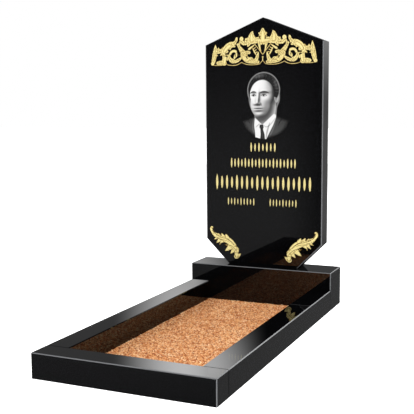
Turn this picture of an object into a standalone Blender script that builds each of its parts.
"""Upright headstone set: a stele on a plinth, three kerbs and a bed of chippings.

Metres, +Z up. The front looks along -Y. The origin is the middle of the footprint, on the ground.
"""
import math
from typing import NamedTuple

import bmesh
import bpy
import numpy as np
from mathutils import Vector
from mathutils.geometry import delaunay_2d_cdt

# Driving sizes of the stele
STELE_HEIGHT = 1.000
STELE_WIDTH = 0.500
STELE_THICKNESS = 0.080
STELE_FOOT_WIDTH = 0.300
FOOT_SLOPE_HEIGHT = 0.100
GABLE_RISE = 0.100
STELE_ARRIS = 0.0035
STELE_SETBACK = 0.045

# Driving sizes of the plinth, the kerbs and the bed
PLINTH_LENGTH = 0.600
PLINTH_DEPTH = 0.150
PLINTH_HEIGHT = 0.150
KERB_WIDTH = 0.080
KERB_HEIGHT = 0.080
KERB_LENGTH = 1.036
BLOCK_ARRIS = 0.0025
BED_THICKNESS = 0.005
STONE_PITCH = 0.032
STONE_RISE = 0.0015
FRONT_JOINT = 0.0032
JOINT = 0.0003

# Driving sizes of the carving, which is cut into the stele's front
CARVING_DEPTH = 0.002
CARVING_SLACK = 0.00035
CREST_WIDTH = 0.452
CREST_DROP = 0.188
LEAF_HEIGHT = 0.134
LEAF_BASE = 0.019
STROKE_BEND = 0.55
STROKE_SHARES = (1.0, 0.84, 0.94, 0.76)


class StrokeRow(NamedTuple):
    """A row of plain strokes; its middle is across from the stele's middle and down from its top."""

    across: float
    down: float
    width: float
    height: float
    stroke: float
    number: int


STROKE_ROWS = (
    StrokeRow(across=0.0015, down=0.5145, width=0.109, height=0.041, stroke=0.0078, number=7),
    StrokeRow(across=0.0010, down=0.5785, width=0.280, height=0.043, stroke=0.0078, number=19),
    StrokeRow(across=-0.0005, down=0.6595, width=0.411, height=0.065, stroke=0.0112, number=19),
    StrokeRow(across=-0.0940, down=0.7380, width=0.118, height=0.034, stroke=0.0062, number=9),
    StrokeRow(across=0.0875, down=0.7380, width=0.115, height=0.034, stroke=0.0062, number=9),
)

# Places worked out from the sizes above
KERB_SPAN = PLINTH_LENGTH
SET_DEPTH = KERB_WIDTH + FRONT_JOINT + KERB_LENGTH + JOINT + PLINTH_DEPTH
FRONT = -SET_DEPTH / 2
PLINTH_FRONT = SET_DEPTH / 2 - PLINTH_DEPTH
KERB_MIDDLE = PLINTH_FRONT - JOINT - KERB_LENGTH / 2
STELE_FRONT = PLINTH_FRONT + STELE_SETBACK
STELE_BASE = PLINTH_HEIGHT + JOINT
BED_WIDTH = KERB_SPAN - 2 * KERB_WIDTH - 2 * JOINT
BED_FRONT = FRONT + KERB_WIDTH + JOINT
BED_BACK = PLINTH_FRONT - JOINT

# The carving is drawn on sheets of these sizes and then scaled to the sizes above
CREST_SHEET_WIDTH = 452.0
LEAF_SHEET_HEIGHT = 134.0


def clear_scene():
    """Remove every object, so the script starts from nothing."""
    for obj in list(bpy.data.objects):
        bpy.data.objects.remove(obj, do_unlink=True)


def principled(name, color, roughness, coat=0.0):
    """A Principled material with one colour.

    Args:
        name: What the material is.
        color: Linear red, green and blue.
        roughness: From polished, near 0, to dull, 1.
        coat: Weight of the polish on top.

    Returns:
        The material.
    """
    material = bpy.data.materials.new(name)
    material.use_nodes = True
    shader = material.node_tree.nodes["Principled BSDF"]
    shader.inputs["Base Color"].default_value = (*color, 1.0)
    shader.inputs["Roughness"].default_value = roughness
    shader.inputs["Metallic"].default_value = 0.0
    shader.inputs["Coat Weight"].default_value = coat
    material.diffuse_color = (*color, 1.0)
    return material


def finish(bm, name, material, location=(0.0, 0.0, 0.0)):
    """Turn a bmesh into a named object that wears one material."""
    bmesh.ops.recalc_face_normals(bm, faces=bm.faces)
    mesh = bpy.data.meshes.new(name)
    bm.to_mesh(mesh)
    bm.free()
    mesh.materials.append(material)
    obj = bpy.data.objects.new(name, mesh)
    obj.location = location
    bpy.context.scene.collection.objects.link(obj)
    return obj


def block(name, size, location, material, sharp_ends=()):
    """A sawn and polished stone block with its exposed arrises taken off.

    Args:
        name: The node's name.
        size: Width, depth and height.
        location: Middle of the underside.
        material: What it wears.
        sharp_ends: Sides, as unit vectors, that meet a neighbour and stay sharp.

    Returns:
        The block as an object.
    """
    bm = bmesh.new()
    bmesh.ops.create_cube(bm, size=1.0)
    bmesh.ops.scale(bm, vec=size, verts=bm.verts)
    bmesh.ops.translate(bm, vec=(0, 0, size[2] / 2), verts=bm.verts)
    sharp = [Vector((0, 0, -1))] + [Vector(side) for side in sharp_ends]
    exposed = []
    for edge in bm.edges:
        sides = [face.normal for face in edge.link_faces]
        if not any(side.dot(end) > 0.9 for side in sides for end in sharp):
            exposed.append(edge)
    bmesh.ops.bevel(bm, geom=exposed, offset=BLOCK_ARRIS, segments=1, affect="EDGES")
    return finish(bm, name, material, location)


def stele_outline():
    """The stele's front view: a foot with sloping sides, upright edges and a low gable."""
    foot, half = STELE_FOOT_WIDTH / 2, STELE_WIDTH / 2
    eaves = STELE_HEIGHT - GABLE_RISE
    right = [(foot, 0.0), (half, FOOT_SLOPE_HEIGHT), (half, eaves)]
    return right + [(0.0, STELE_HEIGHT)] + [(-x, z) for x, z in reversed(right)]


def stele_body(material):
    """The plain stele with the arrises of its front and back faces taken off."""
    bm = bmesh.new()
    front = bm.faces.new([bm.verts.new((x, 0.0, z)) for x, z in stele_outline()])
    grown = bmesh.ops.extrude_face_region(bm, geom=[front])["geom"]
    moved = [item for item in grown if isinstance(item, bmesh.types.BMVert)]
    bmesh.ops.translate(bm, vec=(0, STELE_THICKNESS, 0), verts=moved)
    rims = []
    for edge in bm.edges:
        along = abs(edge.verts[0].co.y - edge.verts[1].co.y)
        on_bed = max(vert.co.z for vert in edge.verts) < 1e-6
        if along < 1e-6 and not on_bed:
            rims.append(edge)
    bmesh.ops.bevel(bm, geom=rims, offset=STELE_ARRIS, segments=1, affect="EDGES")
    return finish(bm, "headstone", material, (0.0, STELE_FRONT, STELE_BASE))


def blend(first, bend, last, t):
    """A value on the quadratic curve from first to last that bend pulls on."""
    return (1 - t) ** 2 * first + 2 * t * (1 - t) * bend + t**2 * last


def ribbon(points, halves, cap=3):
    """The closed outline of a line of points that swells and tapers, with round ends.

    Args:
        points: Vectors along the middle line.
        halves: Half width at each point.
        cap: Points on each round end.

    Returns:
        The outline as a list of vectors.
    """
    count = len(points)
    heads = [points[min(i + 1, count - 1)] - points[max(i - 1, 0)] for i in range(count)]
    sides = [Vector((-head.y, head.x)).normalized() for head in heads]
    left = [p + side * half for p, side, half in zip(points, sides, halves)]
    right = [p - side * half for p, side, half in zip(points, sides, halves)]
    outline = list(left)
    for tip, side, half, back in ((points[-1], sides[-1], halves[-1], right[::-1]),
                                  (points[0], -sides[0], halves[0], [])):
        ahead = Vector((side.y, -side.x))
        for i in range(1, cap + 1):
            turn = math.pi * i / (cap + 1)
            outline.append(tip + half * (math.cos(turn) * side + math.sin(turn) * ahead))
        outline += back
    return outline


def sweep(first, bend, last, halves, count=6):
    """A leaf-like stroke along a quadratic curve; halves are its start, middle pull and end."""
    first, bend, last = Vector(first), Vector(bend), Vector(last)
    steps = [i / (count - 1) for i in range(count)]
    points = [blend(first, bend, last, t) for t in steps]
    return ribbon(points, [blend(*halves, t) for t in steps])


def curl(centre, radii, angles, halves, count=12):
    """A spiral stroke from the first radius and angle, in degrees, to the last."""
    points, widths = [], []
    for i in range(count):
        t = i / (count - 1)
        radius = radii[0] + (radii[1] - radii[0]) * t
        angle = math.radians(angles[0] + (angles[1] - angles[0]) * t)
        points.append(Vector((centre[0] + radius * math.cos(angle), centre[1] + radius * math.sin(angle))))
        widths.append(halves[0] + (halves[1] - halves[0]) * t)
    return ribbon(points, widths)


def bead(centre, radius, sides=9):
    """A round boss."""
    turns = [2 * math.pi * i / sides for i in range(sides)]
    return [Vector((centre[0] + radius * math.cos(a), centre[1] + radius * math.sin(a))) for a in turns]


def crest_border():
    """The wavy rope that the crest stands on, from the middle outwards."""
    knots = ((0, 19), (12, 6.5), (62, 4.5), (91, 14.5), (116, 3.8), (161, 10.5), (190, 5), (220, 7))
    bends = ((6, 15), (36, 1), (80, 8), (103, 6), (142, 1), (170, 3.5), (206, 4.5))
    return [sweep(a, bend, b, (2.2, 2.0, 2.2), 4) for a, bend, b in zip(knots, bends, knots[1:])]


def crest_end():
    """The spire at the crest's end and the leaf mass beside it."""
    return [
        sweep((204.8, 90), (204, 60), (215.5, 16), (1.2, 15, 8.5)),
        bead((217.5, 13), 8.6),
        sweep((190.5, 77), (191, 70), (196, 60), (1.2, 7, 10), 4),
        sweep((196, 62), (180, 62), (164, 62), (10, 8.5, 11), 4),
        sweep((168, 66), (156, 42), (166, 14), (14, 14, 12)),
        sweep((195, 14), (184, 16), (172, 16), (7.5, 9.5, 9.5), 4),
        sweep((170, 52), (178, 50), (183, 44.5), (8, 5, 2.4), 4),
        sweep((206, 45), (200, 46), (194, 44), (5, 4, 1.6), 4),
    ]


def crest_acanthus():
    """The arched acanthus leaf and its turned-up tip."""
    return [
        sweep((112, 110), (112, 96), (130, 87), (5.8, 6, 10)),
        sweep((124, 86), (150, 84), (164, 60), (13, 18, 14)),
    ]


def crest_scrolls():
    """The outer scroll, the slanting leaf and the inner scroll."""
    return [
        sweep((92, 33), (106, 18), (128, 20.5), (4, 9, 10)),
        sweep((128, 20.5), (143, 24), (146, 44), (10, 9, 6)),
        curl((126, 44), (19.5, 14.5), (180, 20), (6.0, 5.5), 9),
        sweep((112, 49), (110, 34), (121, 32), (5.5, 4.5, 4)),
        sweep((121, 32), (123, 37), (119.5, 47), (4.0, 4.5, 1.6), 4),
        sweep((106, 86), (96, 66), (76, 44), (5.5, 9, 13)),
        sweep((84, 46), (76, 26), (56, 18), (13, 14, 10)),
        curl((67, 36), (18.5, 14.5), (120, -90), (7, 5), 10),
        sweep((67, 22), (58, 24), (61, 34), (6, 5, 3.0), 5),
        sweep((56, 30), (49, 30), (42, 22), (4, 8, 6), 4),
    ]


def crest_crown():
    """The knob and swag, the side flame and the middle finial."""
    return [
        bead((90.5, 107.5), 9.4),
        sweep((93, 104), (88, 84), (66, 92), (8, 9.5, 9)),
        sweep((100, 86), (101, 93), (98, 99), (4.0, 3.0, 2.6), 4),
        sweep((56, 98), (58, 84), (66, 74.5), (12, 9, 1.4)),
        bead((71, 105), 5.6),
        bead((62, 107), 6.4),
        sweep((10, 102), (38, 96), (70, 98), (11, 15, 9)),
        sweep((46, 102), (50, 124), (41.8, 136), (18, 13, 1.6)),
        sweep((36, 104), (34, 112), (32, 113), (7, 4, 2), 4),
        sweep((0, 98), (0, 120), (0, 141), (19, 20, 6.5), 7),
        bead((14.5, 126.5), 4.8),
    ]


def crest_lattice():
    """The crossed bands, the rungs between them and the bud below."""
    rungs = []
    for i in range(3):
        outer, inner = (43 - 4.4 * i, 66 - 8 * i), (30 - 4.0 * i, 73 - 9.5 * i)
        rungs.append(sweep(outer, (36 - 4 * i, 66 - 7 * i), inner, (2.6, 3.0, 2.0), 4))
    return rungs + [
        sweep((14, 96), (17, 74), (4, 46), (9, 3.4, 2.2), 7),
        sweep((33, 84), (17, 64), (1, 44), (2.2, 2.2, 2.2), 3),
        sweep((33, 84), (42, 76), (58, 66), (2.2, 4, 5.5), 5),
        sweep((41, 67), (37, 56), (29, 44), (3.4, 3.6, 3.2), 4),
        sweep((18.5, 52), (22, 30), (34, 16), (3.0, 9, 10)),
        sweep((20, 14), (36, 15), (54, 15), (7, 8, 7), 4),
        bead((0, 33), 4.6),
        sweep((0, 33), (0, 26), (0, 19), (3.4, 2.6, 3), 3),
    ]


def crest_gaps():
    """Slits and eyes of bare stone that stay between the crest's strokes."""
    return [
        sweep((12.5, 116), (12.5, 111), (12, 105), (1.2, 1.9, 1.2), 3),
        sweep((0, 84), (0, 66), (0, 48), (1.0, 10.5, 1.0), 7),
        sweep((67.5, 38), (72, 34), (65, 30), (1.0, 2.6, 1.0), 4),
        sweep((119, 86), (115, 82), (113, 76), (1.0, 3.0, 1.2), 4),
        sweep((32, 40), (33, 34), (37, 28), (1.6, 4.4, 2), 4),
        sweep((161, 50), (154, 52), (149, 49), (1.8, 3.4, 2.4), 4),
        sweep((162, 42), (155, 42), (152, 38), (1.4, 2.6, 1.6), 4),
        sweep((156, 23), (152, 20), (154, 14), (1.4, 5.0, 1.6), 4),
        bead((145, 63.5), 4.4),
        sweep((119, 71), (127, 73), (134, 69), (2.4, 4.6, 2.6), 5),
        sweep((109, 62), (104, 50), (106, 38), (2.2, 3.0, 2.4), 5),
        sweep((106, 38), (108, 32), (120, 26.5), (2.8, 5.0, 1.2), 5),
        sweep((90, 26), (88, 22), (84, 17), (1.2, 3.4, 1.2), 4),
    ]


def leaf_strokes():
    """The acanthus leaf of the lower corner; across from the stele's edge, up from its own foot."""
    strokes = [
        sweep((22, 129), (17, 119), (28, 108), (5, 6, 6.5)),
        sweep((23, 130), (29, 131), (28.5, 124), (4.5, 3.5, 1.6), 5),
        sweep((27, 109), (34, 98), (52, 92), (6.5, 8, 12)),
        sweep((50, 92), (101, 77), (127, 45), (11.5, 26, 14), 8),
        sweep((127, 45), (137, 33), (136, 15), (13, 9, 9)),
        sweep((134, 12), (144, 14), (153.5, 24), (11, 9.5, 2.2), 5),
    ]
    lobes = (((50, 87), (33, 77.5), 6), ((62, 82), (44, 62.5), 9), ((74, 79), (58, 56), 9),
             ((98, 65), (88, 54), 6), ((112, 55), (83, 31), 13), ((122, 39), (108, 22), 9),
             ((58, 95), (52, 106.5), 5), ((76, 93), (67.5, 106.5), 7), ((94, 89), (86, 104), 9),
             ((136, 47), (147, 41), 6), ((140, 37), (144, 29), 6))
    for root, tip, half in lobes:
        middle = ((root[0] + tip[0]) / 2 + 1, (root[1] + tip[1]) / 2 - 1)
        strokes.append(sweep(root, middle, tip, (half, 0.85 * half, 1.2), 4))
    return strokes


def leaf_gaps():
    """The deep notch in the leaf's lower edge."""
    return [sweep((66, 60), (84, 68), (96, 60), (3.4, 3.2, 1), 5)]


def spindle(across, up, length, width, points=5):
    """A plain upright stroke that tapers to both ends."""
    side = []
    for i in range(points):
        t = (i + 0.5) / points
        side.append((width / 2 * math.sin(math.pi * t) ** STROKE_BEND, up + length * (t - 0.5)))
    right = [Vector((across + half, z)) for half, z in side]
    left = [Vector((across - half, z)) for half, z in reversed(side)]
    return right + [Vector((across, up + length / 2))] + left + [Vector((across, up - length / 2))]


def row_strokes():
    """Rows of long and short strokes by turns where an inscription would be."""
    strokes = []
    for row in STROKE_ROWS:
        reach = row.width - row.stroke
        for i in range(row.number):
            share = STROKE_SHARES[i % len(STROKE_SHARES)]
            across = row.across + reach * (i / (row.number - 1) - 0.5)
            width = row.stroke * (0.7 + 0.3 * share)
            strokes.append(spindle(across, STELE_HEIGHT - row.down, row.height * share, width))
    return strokes


def scaled(outlines, factor, move, mirror=False):
    """Outlines scaled from their sheet to metres, moved, and turned over left to right."""
    side = -1 if mirror else 1
    return [[Vector((side * (p.x * factor + move[0]), p.y * factor + move[1])) for p in outline]
            for outline in outlines]


def carving():
    """Every carved outline on the stele's front, and the bare gaps in it, in metres."""
    shapes, gaps = row_strokes(), []
    crest = crest_border() + crest_end() + crest_acanthus() + crest_scrolls() + crest_crown()
    crest += crest_lattice()
    crest_scale = CREST_WIDTH / CREST_SHEET_WIDTH
    leaf_scale = LEAF_HEIGHT / LEAF_SHEET_HEIGHT
    crest_move = (0.0, STELE_HEIGHT - CREST_DROP)
    leaf_move = (-STELE_WIDTH / 2, LEAF_BASE)
    for mirror in (False, True):
        shapes += scaled(crest, crest_scale, crest_move, mirror)
        gaps += scaled(crest_gaps(), crest_scale, crest_move, mirror)
        shapes += scaled(leaf_strokes(), leaf_scale, leaf_move, mirror)
        gaps += scaled(leaf_gaps(), leaf_scale, leaf_move, mirror)
    return shapes, gaps


def winding(outline, points):
    """How many times the outline runs anticlockwise around each of the points."""
    turns = np.zeros(len(points))
    for a, b in zip(outline, outline[1:] + outline[:1]):
        side = (b.x - a.x) * (points[:, 1] - a.y) - (b.y - a.y) * (points[:, 0] - a.x)
        turns += (a.y <= points[:, 1]) & (points[:, 1] < b.y) & (side > 0)
        turns -= (b.y <= points[:, 1]) & (points[:, 1] < a.y) & (side < 0)
    return turns


def split_plane(outlines):
    """Cut the plane along every outline into triangles.

    Returns:
        The corners, the triangles as corner numbers, and the middle of each triangle.
    """
    corners, edges = [], []
    for outline in outlines:
        first, count = len(corners), len(outline)
        edges += [(first + i, first + (i + 1) % count) for i in range(count)]
        corners += outline
    corners, _, triangles, _, _, _ = delaunay_2d_cdt(corners, edges, [], 0, 1e-6, False)
    middles = np.array([sum((corners[i] for i in tri), Vector((0, 0))) / 3 for tri in triangles])
    return corners, triangles, middles


def rims(triangles):
    """The closed loops of corner numbers around patches of triangles."""
    sides = {side for tri in triangles for side in zip(tri, tri[1:] + tri[:1])}
    ahead = {}
    for a, b in sorted(sides):
        if (b, a) not in sides:
            ahead.setdefault(a, []).append(b)
    loops = []
    while ahead:
        loop = [min(ahead)]
        while loop[-1] in ahead:
            here = loop[-1]
            loop.append(ahead[here].pop())
            if not ahead[here]:
                del ahead[here]
        loops.append(loop[:-1])
    return loops


def thinned(line):
    """A line of points with only those that its shape needs."""
    first, last = line[0], line[-1]
    if len(line) < 3:
        return line
    across = Vector((first.y - last.y, last.x - first.x)).normalized()
    off = [abs((point - first).dot(across)) for point in line]
    if max(off) < CARVING_SLACK:
        return [first, last]
    far = off.index(max(off))
    return thinned(line[:far + 1])[:-1] + thinned(line[far:])


def merged_outlines(shapes, gaps):
    """Outlines of the area that some shape covers and no gap does, each with few points."""
    corners, triangles, middles = split_plane(shapes + gaps)
    covered = np.zeros(len(triangles), bool)
    for outline in shapes:
        covered |= winding(outline, middles) != 0
    for outline in gaps:
        covered &= winding(outline, middles) == 0
    outlines = []
    for loop in rims([tri for tri, keep in zip(triangles, covered) if keep]):
        points = [corners[i] for i in loop]
        reach = [(point - points[0]).length for point in points]
        far = reach.index(max(reach))
        thin = thinned(points[:far + 1])[:-1] + thinned(points[far:] + points[:1])[:-1]
        if len(thin) > 2 and max(reach) > 4 * CARVING_SLACK:
            outlines.append(thin)
    return outlines


def carving_cutter():
    """One prism for each carved patch, through the stele's front face to the carving's depth."""
    outlines = merged_outlines(*carving())
    corners, triangles, middles = split_plane(outlines)
    inside = sum(winding(outline, middles) for outline in outlines) > 0
    bm = bmesh.new()
    verts = [bm.verts.new((p.x, -CARVING_DEPTH, p.y)) for p in corners]
    for triangle, keep in zip(triangles, inside):
        if keep:
            bm.faces.new([verts[i] for i in triangle])
    bmesh.ops.delete(bm, geom=[vert for vert in bm.verts if not vert.link_faces], context="VERTS")
    grown = bmesh.ops.extrude_face_region(bm, geom=list(bm.faces))["geom"]
    moved = [item for item in grown if isinstance(item, bmesh.types.BMVert)]
    bmesh.ops.translate(bm, vec=(0, 2 * CARVING_DEPTH, 0), verts=moved)
    cutter = finish(bm, "carving_cutter", principled("cutter", (0.5, 0.1, 0.1), 0.5),
                    (0.0, STELE_FRONT, STELE_BASE))
    cutter.hide_render = True
    cutter.display_type = "WIRE"
    return cutter


def headstone(material):
    """The stele with its crest, corner leaves and rows of strokes cut into the front."""
    stele = stele_body(material)
    cut = stele.modifiers.new("carving", "BOOLEAN")
    cut.operation = "DIFFERENCE"
    cut.solver = "EXACT"
    cut.object = carving_cutter()
    return stele


def chippings_bed(material):
    """Loose stone chippings inside the kerbs, as one slab with an uneven top."""
    width, depth = BED_WIDTH, BED_BACK - BED_FRONT
    columns, rows = round(width / STONE_PITCH), round(depth / STONE_PITCH)
    bm = bmesh.new()
    grid = [[bm.verts.new((width * (i / columns - 0.5), depth * (j / rows - 0.5), stone_top(i, j)))
             for i in range(columns + 1)] for j in range(rows + 1)]
    for j in range(rows):
        for i in range(columns):
            bm.faces.new([grid[j][i], grid[j][i + 1], grid[j + 1][i + 1], grid[j + 1][i]])
    rim = [edge for edge in bm.edges if edge.is_boundary]
    skirt = bmesh.ops.extrude_edge_only(bm, edges=rim)["geom"]
    lowered = [item for item in skirt if isinstance(item, bmesh.types.BMVert)]
    for vert in lowered:
        vert.co.z = 0.0
    bm.faces.new(ordered_rim(lowered))
    return finish(bm, "chippings_bed", material, (0.0, (BED_FRONT + BED_BACK) / 2, 0.0))


def stone_top(i, j):
    """Height of the bed at one grid point: a fixed, uneven pattern."""
    wave = math.sin(2.4 * i + 0.7 * j) + math.sin(1.1 * i - 2.9 * j) + math.sin(3.7 * i * j + i)
    return BED_THICKNESS + STONE_RISE * wave / 3


def ordered_rim(verts):
    """The rim's vertices in order around the middle of the bed."""
    return sorted(verts, key=lambda vert: math.atan2(vert.co.y, vert.co.x))


def build():
    """Make every piece of the set."""
    clear_scene()
    granite = principled("polished_black_gabbro", (0.006, 0.006, 0.007), 0.06, 0.3)
    chips = principled("peach_marble_chippings", (0.62, 0.33, 0.17), 0.75)
    headstone(granite)
    side = (KERB_SPAN - KERB_WIDTH) / 2
    block("plinth", (PLINTH_LENGTH, PLINTH_DEPTH, PLINTH_HEIGHT),
          (0.0, PLINTH_FRONT + PLINTH_DEPTH / 2, 0.0), granite)
    block("kerb_front", (KERB_SPAN, KERB_WIDTH, KERB_HEIGHT), (0.0, FRONT + KERB_WIDTH / 2, 0.0), granite,
          [(0, 1, 0)])
    for name, sign in (("kerb_left", -1), ("kerb_right", 1)):
        block(name, (KERB_WIDTH, KERB_LENGTH, KERB_HEIGHT), (sign * side, KERB_MIDDLE, 0.0), granite,
              [(0, 1, 0), (0, -1, 0)])
    chippings_bed(chips)


build()
